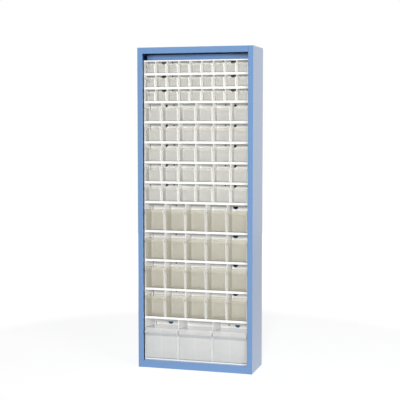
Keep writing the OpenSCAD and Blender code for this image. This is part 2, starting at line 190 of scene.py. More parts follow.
class BinSettings(bpy.types.PropertyGroup):
    """Sizes and colours of the clear bins. Four values stand for mini, small, medium and large bins."""

    counts: IntVectorProperty(
        name="Bins", description="Bins in a row of each kind", default=(9, 6, 5, 3), size=4, min=1
    )
    wall: length("Wall", "Thickness of a bin's walls", 0.0018)
    side_gap: length("Side gap", "Gap between a bin and the partition beside it", 0.001)
    peg_radius: length("Peg radius", "Radius of the pivot pegs", 0.0025)
    peg_reach: length("Peg reach", "How far a peg stands out from its bin", 0.0018)
    peg_edge: length("Peg edge", "Size of the edge round a peg's end", 0.0004)
    peg_sides: count("Peg sides", "Faces round a peg", 24)
    front_corner: length("Front corners", "Radius of the upright corners at the front", 0.0045)
    rear_corner: length("Rear corners", "Radius of the upright corners at the rear", 0.002)
    bottom_edge: length("Bottom edges", "Radius of the edges round the underside", 0.0015)
    heel: share("Heel", "Start of the slanted toe, as a part of the way from pivot to face", 0.25)
    sole: length("Sole", "Distance from the heel back to the start of the front's outline", 0.004)
    heel_radius: length("Heel radius", "Radius at both ends of the slanted toe", 0.001)
    toe_radius: length("Toe radius", "Radius where the front starts to lean outwards", 0.012)
    crease_radius: length("Crease radius", "Radius of the crease", 0.003)
    nose_radius: length("Nose radius", "Radius of the nose", 0.0022)
    least_radius: length("Least radius", "Radius of the upright corners on the inside", 0.0004)
    lip_level: share("Lip level", "Level of the lip, as a part of the housing's height", 0.76)
    nose_level: share("Nose level", "Level at which the front stands out furthest", 0.667)
    crease_level: share("Crease level", "Level of the crease below the nose", 0.57)
    toe_level: share("Toe level", "Level at which the front starts to lean outwards", 0.28)
    lip_reach: share("Lip reach", "Reach of the lip, as a part of the nose's", 0.1)
    crease_reach: share("Crease reach", "Reach of the crease, as a part of the nose's", 0.2)
    catch_rise: length("Catch rise", "Height of the catch's top over the depth of the bin", 0.00382)
    catch_size: length("Catch size", "Height and depth of the catch's sloping face", 0.00283)
    edge_band: length("Edge band", "Width of the lighter band beside a bin's corners", 0.0075)
    guide_gap: length("Divider gap", "Half the distance between the two divider guides", 0.0035)
    guide_foot: length("Divider guide foot", "Half the width of a divider guide at the wall", 0.0016)
    guide_top: length("Divider guide top", "Half the width of a divider guide where it ends", 0.0012)
    guide_rise: length("Divider guide rise", "How far a divider guide stands out from the wall", 0.0008)
    guide_end: length("Divider guide end", "Distance from the lip down to the divider guides", 0.004)
    warm: colour("Warm plastic", "Colour of the plastic of mini and small bins", (0.7, 0.64, 0.46))
    amber: colour("Amber plastic", "Colour of the plastic of medium bins", (0.68, 0.6, 0.34))
    neutral: colour("Neutral plastic", "Colour of the plastic of the large bins", (0.93, 0.94, 0.93))
    # Painted highlight: the corner colour and the corner, rear, divider, lip and nose settings below turn
    # the bins' corners, divider guides, lip and nose whiter and more opaque, in place of the light that the
    # edges of clear plastic catch.
    corner: colour("Corner", "Colour of the milky corners", (0.95, 0.95, 0.93))
    glare: colour("Glare", "Colour of what the surface mirrors", (0.97, 0.97, 0.97))
    haze: shares("Haze", "How milky one face of each kind of bin looks", (0.05, 0.045, 0.1, 0.34))
    corner_highlight: shares("Corner haze", "How milky the upright corners look", (1.0, 0.85, 0.5, 0.45))
    corner_highlight_fade: share("Corner fade", "Part of the milkiness left where a corner meets the side", 0.6)
    rear_highlight: share("Rear glow", "How much of the corners' milkiness the rear corners have", 0.3)
    guide_highlight: share("Divider glow", "How much of the corners' milkiness the divider guides have", 0.3)
    lip_highlight: share("Lip glow", "How much of the corners' milkiness the lip has", 0.45)
    lip_line: length("Lip line", "How far the lip's milkiness reaches", 0.0014)
    nose_highlight: share("Nose glow", "How much of the corners' milkiness the nose has", 0.25)
    nose_line: length("Nose line", "How far the nose's milkiness reaches", 0.0018)
    flow: length("Flow size", "Distance between the waves in the plastic", 0.035)
    flow_depth: length("Flow depth", "Depth of the waves in the surface", 0.0003)
    dust: length("Dust size", "Distance between the specks on the surface", 0.0012)
    gloss: share("Roughness", "Roughness of the clear plastic", 0.07)
    mirror: share("Mirror", "Part of the light that the surface mirrors, seen square on", 0.04)


class FastenerSettings(bpy.types.PropertyGroup):
    """Sizes and places of the rivets and screws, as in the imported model."""

    zinc: colour("Zinc", "Colour of the zinc plate", (0.56, 0.57, 0.6))
    gloss: share("Roughness", "Roughness of the zinc plate", 0.32)
    mottle: length("Mottle size", "Distance between the crystals of the zinc plate", 0.0022)
    mottle_depth: length("Mottle depth", "Height of the crystals", 0.00002)
    mottle_tone: share("Mottle tone", "How much darker the darkest crystal is", 0.25)
    head_radius: length("Rivet head", "Radius of a rivet's outer head", 0.0032)
    head_height: length("Rivet head height", "Height of a rivet's outer head", 0.0011)
    pit: length("Rivet pit", "Radius of the pit in a rivet's head", 0.001)
    shank: length("Rivet shank", "Radius of a rivet's shank", 0.0016)
    tail_radius: length("Rivet tail", "Radius of a rivet's formed tail", 0.0024)
    tail_height: length("Rivet tail height", "Height of a rivet's formed tail", 0.002)
    rivet_sides: count("Rivet sides", "Faces round a rivet", 20)
    side_rivets: count("Side rivets", "Rivets up each side", 7)
    end_rivets: count("End rivets", "Rivets across the top and the bottom", 4)
    margin: length("Rivet margin", "Distance from the end rivets to the cabinet's edge", 0.06)
    rear_flange: length("Rear flange", "Width of the flanges behind the back panel's edges", 0.015)
    flange_edge: length("Flange edge", "Distance from a flange's inner edge to its rivets", 0.006)
    sheet: length("Sheet", "Thickness of the sheet steel", 0.001)
    foot: length("Panel foot", "Width of a mounting panel's feet", 0.015)
    foot_inset: length("Foot inset", "Distance from a mounting panel's ends to its rivets", 0.02)
    black: colour("Black zinc", "Colour of the screws' black plating", (0.05, 0.05, 0.055))
    screw_radius: length("Screw", "Radius of a screw's thread", 0.002)
    screw_length: length("Screw length", "Length of a screw under its head", 0.012)
    screw_head: length("Screw head", "Radius of a screw's head", 0.004)
    screw_head_height: length("Screw head height", "Height of a screw's head", 0.0024)
    screw_rim: length("Screw head rim", "Height of the straight rim under the dome of the head", 0.0003)
    screw_sides: count("Screw sides", "Faces round a screw", 40)
    pitch: length("Thread pitch", "Distance from one turn of a screw's thread to the next", 0.0012)
    groove: length("Thread depth", "Depth of the groove between two turns", 0.0003)
    recess: length("Cross recess", "Half the length of the cross in a screw's head", 0.0022)
    recess_width: length("Recess width", "Half the width of an arm of the cross", 0.0005)
    recess_depth: length("Recess depth", "Depth of the cross", 0.0012)


class StageSettings(bpy.types.PropertyGroup):
    """The camera, the floor and the lamps."""

    camera_place: spot("Camera place", "Where the camera stands", (1.5855, -5.5222, 1.3887))
    camera_turn: angle("Camera turn", "How far the camera looks to the left of straight back", 16.045)
    camera_tilt: angle("Camera tilt", "How far the camera looks down", 4.374)
    lens: number("Lens", "Focal length on a sensor 36 mm wide", 91.846, "CAMERA")
    aim: spot("Aim", "Where the lamps look", (0, 0, 0.9))
    sky: number("Sky", "Strength of the even light from all round", 0.15)
    key: number("Key lamp", "Power of the lamp in front", 1320, "POWER")
    key_size: length("Key lamp size", "Width and height of the lamp in front", 2.2)
    key_place: spot("Key lamp place", "Where the lamp in front hangs", (3.05, -13.4, 3.9))
    fill: number("Fill lamp", "Power of the wide lamp on the right", 165, "POWER")
    fill_size: length("Fill lamp size", "Width and height of the lamp on the right", 2.6)
    fill_place: spot("Fill lamp place", "Where the lamp on the right hangs", (5.2, -4.2, 1.3))
    floor_radius: length("Floor radius", "Radius of the round floor", 7.0)
    floor: colour("Floor", "Colour of the floor", (0.95, 0.95, 0.95))
    grain: length("Floor grain", "Distance between the grains of the floor", 0.02)
    grain_tone: share("Grain tone", "How much darker the darkest grain is", 0.02105)
    floor_glow: number("Floor glow", "Brightness that the floor shows to the camera", 1.5)
    floor_near: share("Floor near", "Part of that glow near the cabinet, where the shadow lies", 0.55)
    floor_mirrored: share("Floor mirrored", "Part of that glow that reflections see", 0.5)
    fade_start: length("Fade start", "Distance at which the floor starts to fade into the room", 1.6)
    fade_reach: length("Fade reach", "Distance over which the floor fades into the room", 2.0)


class Value:
    """A socket of a shader node. Arithmetic on it adds Math nodes to the same tree."""

    def __init__(self, nodes, socket):
        self.nodes = nodes
        self.socket = socket

    def math(self, operation, *terms, clamp=False):
        """A Math node that works on the terms."""
        settings = {"operation": operation, "use_clamp": clamp}
        return self.nodes.node("ShaderNodeMath", settings, dict(enumerate(terms)))

    def __add__(self, other):
        return self.math("ADD", self, other)

    __radd__ = __add__

    def __sub__(self, other):
        return self.math("SUBTRACT", self, other)

    def __rsub__(self, other):
        return self.math("SUBTRACT", other, self)

    def __mul__(self, other):
        return self.math("MULTIPLY", self, other)

    __rmul__ = __mul__

    def __truediv__(self, other):
        return self.math("DIVIDE", self, other)

    def __pow__(self, other):
        return self.math("POWER", self, other)

    def larger(self, other):
        """The larger of two values."""
        return self.math("MAXIMUM", self, other)

    def limited(self):
        """The same value, kept from 0 to 1."""
        return self.math("MULTIPLY", self, 1.0, clamp=True)


class Nodes:
    """The node tree of a material or a world, built node by node."""

    def __init__(self, owner):
        owner.use_nodes = True
        self.tree = owner.node_tree
        self.tree.nodes.clear()

    def node(self, kind, settings=None, inputs=None, output=0):
        """Adds a node: its settings first, then the values or links of its sockets. Gives one output."""
        made = self.tree.nodes.new(kind)
        for name, value in (settings or {}).items():
            setattr(made, name, value)
        for name, value in (inputs or {}).items():
            if isinstance(value, Value):
                self.tree.links.new(value.socket, made.inputs[name])
            else:
                made.inputs[name].default_value = value
        return Value(self, made.outputs[output]) if made.outputs else None


class Finish(Nodes):
    """A material and the patterns that its finish is made of."""

    def __init__(self, name):
        self.material = bpy.data.materials.new(name)
        super().__init__(self.material)

    def place(self):
        """Object coordinates, which are the frame's own metres on every piece."""
        return self.node("ShaderNodeTexCoord", output="Object")

    def noise(self, place, size, detail=2.0, rough=0.5):
        """Noise from 0 to 1 with features of about that size in metres."""
        inputs = {"Vector": place, "Scale": 1 / size, "Detail": detail, "Roughness": rough}
        return self.node("ShaderNodeTexNoise", {}, inputs)

    def mix(self, amount, first, second):
        """A colour between two others."""
        settings = {"data_type": "RGBA", "blend_type": "MIX"}
        return self.node("ShaderNodeMix", settings, {0: amount, 6: first, 7: second}, output=2)

    def bump(self, height, depth):
        """The normal of a relief whose height runs from 0 to 1 over that depth in metres."""
        return self.node("ShaderNodeBump", {}, {"Height": height, "Distance": depth, "Strength": 1.0})

    def shade(self, **sockets):
        """Ends the finish in one Principled shader. Underscores in a socket's name stand for spaces."""
        inputs = {name.replace("_", " "): value for name, value in sockets.items()}
        shader = self.node("ShaderNodeBsdfPrincipled", {}, inputs)
        self.node("ShaderNodeOutputMaterial", {}, {"Surface": shader})
        return self.material


def opaque(rgb):
    """A colour with full alpha, as colour sockets take it."""
    return (*rgb, 1.0)


def darker(rgb, amount):
    """The same colour with part of its light taken away."""
    return opaque([part * (1 - amount) for part in rgb])


def powder_coat(settings):
    """Satin powder coat: cloudy colour within a few hundredths, orange peel and a fine grain."""
    finish = Finish("powder_coat")
    place = finish.place()
    cloud = finish.noise(place, settings.cloud, detail=3.0)
    peel = finish.noise(place, settings.peel, detail=1.0)
    grain = finish.noise(place, settings.peel / 5)
    shadow = darker(settings.paint, settings.cloud_depth)
    tone = finish.mix(cloud * 0.7 + grain * 0.3, shadow, opaque(settings.paint))
    return finish.shade(
        Base_Color=tone,
        Roughness=settings.gloss - 0.05 + cloud * 0.06 + grain * 0.05,
        IOR=settings.index,
        Coat_Weight=1.0,
        Coat_Roughness=settings.coat_gloss,
        Coat_IOR=settings.coat_index,
        Normal=finish.bump(peel * 0.75 + grain * 0.25, settings.peel_depth),
    )


def moulded_plastic(settings):
    """White moulded plastic: a faint flow pattern along the housing and the mould's fine grain."""
    finish = Finish("housing_plastic")
    place = finish.place()
    stretch = (1 / settings.flow_stretch, 1.0, 1.0)
    drawn = finish.node("ShaderNodeMapping", {}, {"Vector": place, "Scale": stretch})
    flow = finish.noise(drawn, settings.flow, detail=3.0)
    grain = finish.noise(place, settings.grain)
    tone = finish.mix(flow, darker(settings.plastic, settings.flow_depth), opaque(settings.plastic))
    return finish.shade(
        Base_Color=tone,
        Roughness=settings.gloss + flow * 0.06 + grain * 0.06,
        IOR=settings.index,
        Normal=finish.bump(grain, settings.grain_depth),
    )


def clear_plastic(name, tint, kind, settings):
    """Clear plastic: a milky body, thicker and whiter along its corners as a painted highlight, under a
    surface that mirrors aslant.

    The mirror's share is Schlick's least + (1 - least) (1 - cos)^5 of the angle of view. Body and
    mirror cover 1 - (1 - body) (1 - mirror) of what lies behind, and the metallic share of that is
    the mirror.
    """
    haze, corner_highlight = settings.haze[kind], settings.corner_highlight[kind]
    finish = Finish(name)
    place = finish.place()
    flow = finish.noise(place, settings.flow)
    dust = finish.noise(place, settings.dust, detail=3.0, rough=0.7)
    # The edge attribute is a painted highlight mask: where it is set, the plastic turns whiter and more
    # opaque, standing in for the light that the edges of clear plastic catch.
    edge = finish.node("ShaderNodeAttribute", {"attribute_name": "edge"}, output="Fac")
    slant = finish.node("ShaderNodeLayerWeight", {}, {"Blend": 0.5}, output="Facing")
    mirror = settings.mirror + slant**5 * (1 - settings.mirror)
    body = haze + (flow - 0.5) * 0.04 + edge * (corner_highlight - haze)
    cover = body + mirror - body * mirror
    tone = finish.mix(edge, opaque(tint), opaque(settings.corner))
    return finish.shade(
        Base_Color=finish.mix(mirror / cover, tone, opaque(settings.glare)),
        Metallic=mirror / cover,
        Roughness=settings.gloss + flow * 0.05 + dust * 0.05,
        Alpha=cover.limited(),
        Normal=finish.bump(flow, settings.flow_depth),
    )


def zinc_plate(name, plating, settings):
    """Zinc plated steel whose crystals mottle its colour and its gloss."""
    finish = Finish(name)
    place = finish.place()
    mottle = finish.noise(place, settings.mottle, detail=3.0, rough=0.6)
    tone = finish.mix(mottle, darker(plating, settings.mottle_tone), opaque(plating))
    return finish.shade(
        Base_Color=tone,
        Metallic=1.0,
        Roughness=settings.gloss - 0.06 + mottle * 0.16,
        Normal=finish.bump(mottle, settings.mottle_depth),
    )


def grid_quads(rows, columns, closed):
    """Corners of the faces of a grid whose points run along rows first. Closed joins a row's ends."""
    along = columns if closed else columns - 1
    row, column = np.meshgrid(np.arange(rows - 1), np.arange(along), indexing="ij")
    after = (column + 1) % columns
    low, high = row * columns, (row + 1) * columns
    return np.stack([low + column, low + after, high + after, high + column], -1).reshape(-1, 4)


def copies(points, groups, places):
    """One shape set down at each place: all its points, and its faces as one list.

    Each group of the shape's faces is an array that holds a row of corners for each face.
    """
    places = np.asarray(places, float)
    steps = np.arange(len(places))[:, None, None] * len(points)
    faces = []
    for group in groups:
        faces += (group[None] + steps).reshape(-1, group.shape[1]).tolist()
    return (points[None] + places[:, None]).reshape(-1, 3), faces


def placed(name, data):
    """A new object at the scene's origin."""
    item = bpy.data.objects.new(name, data)
    bpy.context.scene.collection.objects.link(item)
    return item


def new_piece(name, points, faces, finish, sharp=40.0):
    """An object from points and a list of faces, smooth but for edges over the sharp angle."""
    mesh = bpy.data.meshes.new(name)
    mesh.from_pydata(points.tolist(), [], faces)
    mesh.validate()
    mesh.polygons.foreach_set("use_smooth", np.ones(len(mesh.polygons), bool))
    mesh.set_sharp_from_angle(angle=math.radians(sharp))
    mesh.materials.append(finish)
    return placed(name, mesh)


def stand_for(piece, node):
    """The piece takes the CAD node's place and body."""
    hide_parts(node)
    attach(piece, body_of(frame["nodes"][node])[0])


def merged(node):
    """The shape of a CAD node with its corners merged."""
    shape = bmesh.new()
    shape.from_mesh(frame["nodes"][node].data)
    bmesh.ops.remove_doubles(shape, verts=shape.verts, dist=MERGE_DISTANCE)
    return shape


def finished(node, shape, smooth, finish):
    """A piece from a shape that stands for its CAD node, with smooth or flat faces all over."""
    mesh = bpy.data.meshes.new(node + "_finish")
    shape.to_mesh(mesh)
    shape.free()
    mesh.polygons.foreach_set("use_smooth", np.full(len(mesh.polygons), smooth))
    mesh.materials.append(finish)
    piece = placed(node + "_finish", mesh)
    stand_for(piece, node)
    return piece


def softened(node, finish, radius):
    """A copy of a CAD node with its flat faces joined and its edges rounded.

    The joined faces are split again where they are hollow, so that none spans a hole, and larger
    faces count for more in the normals, so that flat faces look flat.
    """
    shape = merged(node)
    bmesh.ops.dissolve_limit(shape, angle_limit=FLAT_ANGLE, verts=shape.verts, edges=shape.edges)
    bmesh.ops.connect_verts_concave(shape, faces=shape.faces)
    piece = finished(node, shape, True, finish)
    bevel = piece.modifiers.new("edges", "BEVEL")
    bevel.width = radius
    bevel.segments = 2
    bevel.limit_method = "ANGLE"
    bevel.angle_limit = EDGE_ANGLE
    normals = piece.modifiers.new("normals", "WEIGHTED_NORMAL")
    normals.mode = "FACE_AREA"
    normals.weight = 80
    return piece


def pierced(node, finish):
    """A copy of a thin CAD sheet with many holes, whose edges stay sharp."""
    return finished(node, merged(node), False, finish)


def lathe(profile, segments):
    """Points and faces of a profile turned about the Y axis. Each row of it is a radius and a Y."""
    turn = np.linspace(0, 2 * np.pi, segments, endpoint=False)
    radius, y = profile[:, :1], profile[:, 1:]
    ring = np.stack([radius * np.cos(turn), y + 0 * turn, radius * np.sin(turn)], -1)
    return ring.reshape(-1, 3), grid_quads(len(profile), segments, True)


def end_caps(points_in_ring, rings):
    """One face that closes the first ring of a tube and one that closes its last."""
    ring = np.arange(points_in_ring)
    return np.stack([ring[::-1], (rings - 1) * points_in_ring + ring])


def rounded_corners(corners, radii, steps):
    """A polyline whose inner corners become arcs.

    At each corner the arc touches both legs at radius times the tangent of half the turn. Points are
    complex numbers here, so a factor of i turns a leg to its normal, and exp(i angle) turns the way
    from the arc's centre to its start.
    """
    corners = np.array(corners) @ [1, 1j]
    leg = np.diff(corners)
    leg /= np.abs(leg)
    turn = np.angle(leg[1:] / leg[:-1])
    start = corners[1:-1] - leg[:-1] * radii * np.tan(np.abs(turn) / 2)
    centre = start + 1j * leg[:-1] * radii * np.sign(turn)
    swing = np.exp(1j * turn[:, None] * np.linspace(0, 1, steps))
    arc = centre[:, None] + (start - centre)[:, None] * swing
    line = np.concatenate([corners[:1], arc.ravel(), corners[-1:]])
    return np.stack([line.real, line.imag], -1)


def fringed(line, step):
    """The same polyline with two more points, a step from its ends, on each leg over three steps long."""
    leg = np.diff(line, axis=0)
    size = np.linalg.norm(leg, axis=1)
    along = leg / size[:, None] * step
    points = np.stack([line[:-1], line[:-1] + along, line[1:] - along], 1)
    is_long = size > 3 * step
    keep = np.stack([size > 0, is_long, is_long], 1)
    return np.concatenate([points[keep], line[-1:]])


def left_normals(line):
    """Unit normals on the left of a polyline, from the directions of its neighbours."""
    along = np.gradient(line, axis=0)
    along /= np.linalg.norm(along, axis=1, keepdims=True)
    return np.stack([-along[:, 1], along[:, 0]], -1)


def housing_box(node):
    """Box of the housing that a bin's node lies in. The node's name says its row, from 1 at the top."""
    row = int(node.split("_row_")[1].split("_")[0])
    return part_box(HOUSINGS[row - 1])


def kind_of(node):
    """Place of a bin's kind in BIN_KINDS, by the height of its housing."""
    low, high = housing_box(node)
    return HOUSING_HEIGHTS.index(round((high - low).z, 4))


def bin_centres(node, bins, width):
    """X of the middle of each bin in a node: one for a single bin, or all of a row."""
    if node.startswith("bin_row_"):
        return [PIVOTS[node][0]]
    low = housing_box(node)[0].x
    housing = bpy.context.scene.housing_settings
    return [low + housing.wall + width / 2 + i * (width + housing.partition) for i in range(bins)]


class BinShape:
    """One size of bin, in metres from its own pivot: X across, Y to the rear and Z up."""

    def __init__(self, node, settings, half_width):
        housing_low, housing_high = housing_box(node)
        low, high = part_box(node)
        pivot = PIVOTS[node]
        self.settings = s = settings
        self.half = half_width
        self.bottom = low.z - pivot[2]
        self.rear = high.y - pivot[1]
        self.face = housing_low.y - pivot[1]
        self.nose = housing_low.y - low.y
        self.floor = housing_low.z - pivot[2]
        self.height = (housing_high - housing_low).z
        self.lip = self.front_point(s.lip_level, s.lip_reach)
        self.catch_y = self.rear - s.catch_size
        self.catch_z = self.rear + s.catch_rise - s.catch_size
        section = [-s.guide_foot, -s.guide_top, s.guide_top, s.guide_foot]
        self.guides = np.array(section if kind_of(node) == LARGE else [])

    def front_point(self, level, reach):
        """A point of the front at a part of the housing's height and of the nose's reach."""
        return [self.face - self.nose * reach, self.floor + level * self.height]

    def top(self, y):
        """Height of the walls' top edge: a straight slope from lip to catch, then up at 45 degrees."""
        slope = np.interp(y, [self.lip[0], self.catch_y], [self.lip[1], self.catch_z])
        return slope + np.clip(y - self.catch_y, 0, None)

    def front_line(self):
        """Y and Z of the outside of the front, from under the bin up to the rim, its corners rounded."""
        s = self.settings
        heel = self.face * s.heel
        outline = [
            [heel + s.sole, self.bottom],
            [heel, self.bottom],
            [self.face, self.bottom + heel - self.face],
            self.front_point(s.toe_level, 0),
            self.front_point(s.crease_level, s.crease_reach),
            self.front_point(s.nose_level, 1),
            self.lip,
        ]
        radii = [s.heel_radius, s.heel_radius, s.toe_radius, s.crease_radius, s.nose_radius]
        return fringed(rounded_corners(outline, radii, 5), s.nose_line)

    def levels(self):
        """The shell's levels, from under the bin up its outside, over the rim and down its inside.

        Each has the Y and Z of its front, the inset of its other walls, how far inside it lies from 0
        to 1, and how much painted highlight the lip and the nose give it. The rim is half a circle as wide
        as the wall.
        """
        s = self.settings
        outer = self.front_line()
        inward = -left_normals(outer)
        up = outer[-1] - outer[-2]
        up /= np.linalg.norm(up)
        outer[-1] -= up * s.wall / 2
        inner = (outer + inward * s.wall)[::-1]
        turn = np.linspace(0, np.pi, 7)[1:-1, None]
        across = s.wall / 2 * (1 - np.cos(turn))
        rim = outer[-1] + inward[-1] * across + up * s.wall / 2 * np.sin(turn)
        outside = foot_inset(outer[:, 1] - self.bottom, s.bottom_edge)
        inside = s.wall + foot_inset(inner[:, 1] - self.bottom - s.wall, s.bottom_edge)
        line = np.concatenate([outer, rim, inner])
        inset = np.concatenate([outside, across[:, 0], inside])
        depth = np.repeat([0.0, 1.0], [len(outer) + len(rim), len(inner)])
        # Painted highlight along the lip and the nose, falling off with the distance from them.
        from_rim = np.linalg.norm(line - rim[2], axis=1)
        from_nose = line[:, 1] - self.front_point(s.nose_level, 1)[1]
        rim_highlight_mask = s.lip_highlight * np.exp(-((from_rim / s.lip_line) ** 2))
        nose_highlight_mask = s.nose_highlight * np.exp(-((from_nose / s.nose_line) ** 2))
        return line, inset, depth, rim_highlight_mask, nose_highlight_mask

    def shell(self):
        """Points, groups of faces and the mask of painted highlight along the shell's edges.

        Each level is a rectangle with round corners: a corner's point is its centre plus the radius
        along its direction. Its Z runs from the bottom to the sloping top edge in the ratio at which
        the front stands between the bottom and the lip.
        """
        s = self.settings
        line, inset, depth, rim_highlight_mask, nose_highlight_mask = self.levels()
        front, inset, depth = line[:, :1], inset[:, None], depth[:, None]
        half, rear = self.half - inset, self.rear - inset
        steps = 5
        quarter = np.radians(np.linspace(0, 90, steps))

        def corner(side, middle, radius, start):
            """X and Y of a quarter circle in every level."""
            turn = quarter + math.radians(start)
            return side * (half - radius) + radius * np.cos(turn), middle + radius * np.sin(turn)

        ahead = np.maximum(s.front_corner - inset, s.least_radius)
        behind = np.maximum(s.rear_corner - inset, s.least_radius)
        foot = self.catch_y + 0 * inset
        band = self.half - s.edge_band
        across = np.concatenate([[-band], self.guides - s.guide_gap, self.guides + s.guide_gap, [band]])
        rise = np.zeros(len(across))
        if len(self.guides):
            rise[1:-1] = np.tile([0, 1, 1, 0], 2) * s.guide_rise
        has_guide = line[:, 1:] < self.lip[1] - s.guide_end
        straight = across + 0 * inset, front + depth * rise * has_guide
        parts = [
            corner(1, front + ahead, ahead, -90),
            (half, foot),
            corner(1, rear - behind, behind, 0),
            corner(-1, rear - behind, behind, 90),
            (-half, foot),
            corner(-1, front + ahead, ahead, 180),
            straight,
        ]
        x = np.concatenate([part[0] for part in parts], 1)
        y = np.concatenate([part[1] for part in parts], 1)
        ratio = (line[:, 1:] - self.bottom) / (self.lip[1] - self.bottom)
        z = self.bottom + ratio * (self.top(np.maximum(y, self.lip[0])) - self.bottom)
        rings, around = x.shape
        groups = [grid_quads(rings, around, True), end_caps(around, rings)]
        # Painted highlight mask: full at the front corners and fading round them, a little on the rear
        # corners and the divider guides, along the lip everywhere and along the nose at the front.
        fade = np.linspace(1, s.corner_highlight_fade, steps)
        rear_highlight_arc = s.rear_highlight * np.sin(2 * quarter)
        guide_highlight_mask = s.guide_highlight * (rise > 0)
        upright = np.concatenate([fade, [0], rear_highlight_arc, rear_highlight_arc, [0], fade[::-1], guide_highlight_mask])
        at_front = np.concatenate([fade, np.zeros(2 * steps + 2), fade, np.ones(len(across))])
        edge = np.maximum(upright[None], rim_highlight_mask[:, None])
        edge = np.maximum(edge, nose_highlight_mask[:, None] * at_front[None])
        return np.stack([x, y, z], -1).reshape(-1, 3), groups, edge.ravel()

    def pegs(self):
        """Points and groups of faces of the two pegs: a profile turned about X, with a rounded end.

        The left peg is the right one mirrored, so its corners run the other way round.
        """
        s = self.settings
        end = self.half + s.peg_reach
        radius = [s.peg_radius, s.peg_radius, s.peg_radius - s.peg_edge]
        profile = np.stack([radius, [self.half - s.wall / 2, end - s.peg_edge, end]], -1)
        points, quads = lathe(profile, s.peg_sides)
        right = points[:, [1, 0, 2]]
        left = right * [-1, 1, 1]
        groups = [
            np.concatenate([group[:, ::-1], group + len(points)])
            for group in (quads, end_caps(s.peg_sides, len(profile)))
        ]
        return np.concatenate([right, left]), groups


def foot_inset(height, radius):
    """Inset of a wall at a height over its rounded foot, a quarter of a circle."""
    up = radius - np.clip(height, 0, radius)
    return radius - np.sqrt(radius**2 - up**2)


def make_bins(node, finish):
    """The bins of one node as one piece: shells with their pegs, set down at each bin's pivot."""
    scene = bpy.context.scene
    settings = scene.bin_settings
    housing = scene.housing_settings
    bins = settings.counts[kind_of(node)]
    low, high = housing_box(node)
    room = (high - low).x - 2 * housing.wall - (bins - 1) * housing.partition
    width = room / bins
    shape = BinShape(node, settings, width / 2 - settings.side_gap)
    shell_points, shell_groups, edge = shape.shell()
    peg_points, peg_groups = shape.pegs()
    points = np.concatenate([shell_points, peg_points])
    groups = shell_groups + [group + len(shell_points) for group in peg_groups]
    # The pegs get the painted highlight in full, and the mask goes on the piece as its edge attribute.
    edge = np.concatenate([edge, np.ones(len(peg_points))])
    places = [[x, *PIVOTS[node][1:]] for x in bin_centres(node, bins, width)]
    piece = new_piece(node + "_clear", *copies(points, groups, places), finish, sharp=50.0)
    mask = piece.data.attributes.new("edge", "FLOAT", "POINT")
    mask.data.foreach_set("value", np.tile(edge, len(places)).astype(np.float32))
    stand_for(piece, node)
    return piece


def rivet_profile(s):
    """Radius and Y of a blind rivet, from the pit in its domed head to its bulged tail, head outwards.

    The pit's points are parts of its radius and of the head's height.
    """
    dome = np.radians(np.linspace(60, 0, 6))
    head = np.stack([0.2 + 0.8 * np.cos(dome), np.sin(dome) / np.sin(dome[0])], -1)
    head = head * [s.head_radius, s.head_height] / [head[:, 0].max(), 1]
    pit = np.array([[0.6, 0.45], [0.9, 0.5], [1.0, 0.95]]) * [s.pit, s.head_height]
    bulge = np.radians(np.linspace(15, 165, 6))
    tail_radius = s.shank + (s.tail_radius - s.shank) * np.sin(bulge)
    tail_y = -2 * s.sheet - s.tail_height * (0.5 - 0.5 * np.cos(bulge))
    tail = np.stack([tail_radius, tail_y], -1)
    end = [[s.shank * 0.5, -2 * s.sheet - s.tail_height]]
    return np.concatenate([pit, head, [[s.shank, 0], [s.shank, -2 * s.sheet]], tail, end])


def back_rivet_places(s):
    """Places of the rivets round the back panel."""
    high = CAD_BOX[1]
    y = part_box("back_panel")[1].y
    x = high.x - s.rear_flange + s.flange_edge
    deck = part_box("bottom_panel")[1].z
    up = np.linspace(s.margin, high.z - s.margin, s.side_rivets)
    across = np.linspace(s.margin - high.x, high.x - s.margin, s.end_rivets)
    ends = (high.z - s.rear_flange + s.flange_edge, deck / 2)
    return [[side, y, z] for side in (-x, x) for z in up] + [[x, y, z] for z in ends for x in across]


def panel_rivet_places(s):
    """Places of the rivets that hold the mounting panels' feet to the back panel."""
    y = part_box("back_panel")[1].y
    places = []
    for name in MOUNTING_PANELS:
        low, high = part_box(name)
        x = high.x - s.foot / 2
        for z in (low.z + s.foot_inset, high.z - s.foot_inset):
            places += [[-x, y, z], [x, y, z]]
    return places


def screw_places(s):
    """Places of the screws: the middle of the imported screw's points in each half of each housing."""
    mesh = frame["nodes"]["housing_screws"].data
    points = np.empty(len(mesh.vertices) * 3, np.float32)
    mesh.vertices.foreach_get("co", points)
    points = points.reshape(-1, 3).astype(float)
    places = []
    for name in HOUSINGS:
        low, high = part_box(name)
        level = (points[:, 2] > low.z) & (points[:, 2] < high.z)
        for half in (level & (points[:, 0] < 0), level & (points[:, 0] > 0)):
            middle = (points[half].min(0) + points[half].max(0)) / 2
            places.append([middle[0], points[half, 1].min() + s.screw_head_height, middle[2]])
    return places


